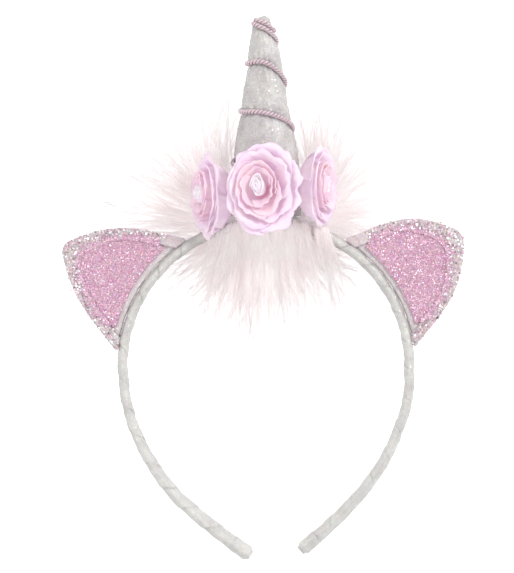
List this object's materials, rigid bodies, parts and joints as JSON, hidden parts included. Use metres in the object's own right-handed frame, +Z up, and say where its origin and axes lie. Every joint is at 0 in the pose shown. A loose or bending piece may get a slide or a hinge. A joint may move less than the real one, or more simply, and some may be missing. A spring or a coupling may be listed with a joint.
{
  "type": "unicorn horn headband",
  "caption": "Ribbon-wrapped hair band with a padded glitter horn wound with cord, glitter ears, satin roses and marabou fluff, worn over the top of the head.",
  "frame": {"origin": "on the surface it lies on, under the middle of its bounding box", "axes": "+X to the right as the front is seen, +Y from the band's tips towards the horn's tip, +Z up from the surface, out of the front"},
  "size_m": [0.192, 0.2606, 0.0516],
  "materials": {
    "ribbon": "pale silver-white glitter ribbon, satin sheen",
    "horn_fabric": "pale grey-white fine glitter cloth over padding",
    "cord": "dusty pink twisted satin cord",
    "ear_felt": "white padded felt",
    "pink_glitter": "dusty pink glitter",
    "silver_glitter": "chunky iridescent silver-pink glitter",
    "satin_outer": "light pink satin",
    "satin_inner": "pink satin",
    "satin_bud": "pale pink satin",
    "down": "soft cream-pink marabou down"
  },
  "bodies": {
    "root": {"band": "ribbon", "band_tip_left": "ribbon", "band_tip_right": "ribbon", "horn": "horn_fabric", "horn_cord": "cord", "ear_left": "ear_felt", "ear_left_panel": "pink_glitter", "ear_left_border": "silver_glitter", "ear_right": "ear_felt", "ear_right_panel": "pink_glitter", "ear_right_border": "silver_glitter", "rose_left_outer_petals": "satin_outer", "rose_left_inner_petals": "satin_inner", "rose_left_bud": "satin_bud", "rose_centre_outer_petals": "satin_outer", "rose_centre_inner_petals": "satin_inner", "rose_centre_bud": "satin_bud", "rose_right_outer_petals": "satin_outer", "rose_right_inner_petals": "satin_inner", "rose_right_bud": "satin_bud", "marabou_fluff": "down"}
  },
  "joints": []
}
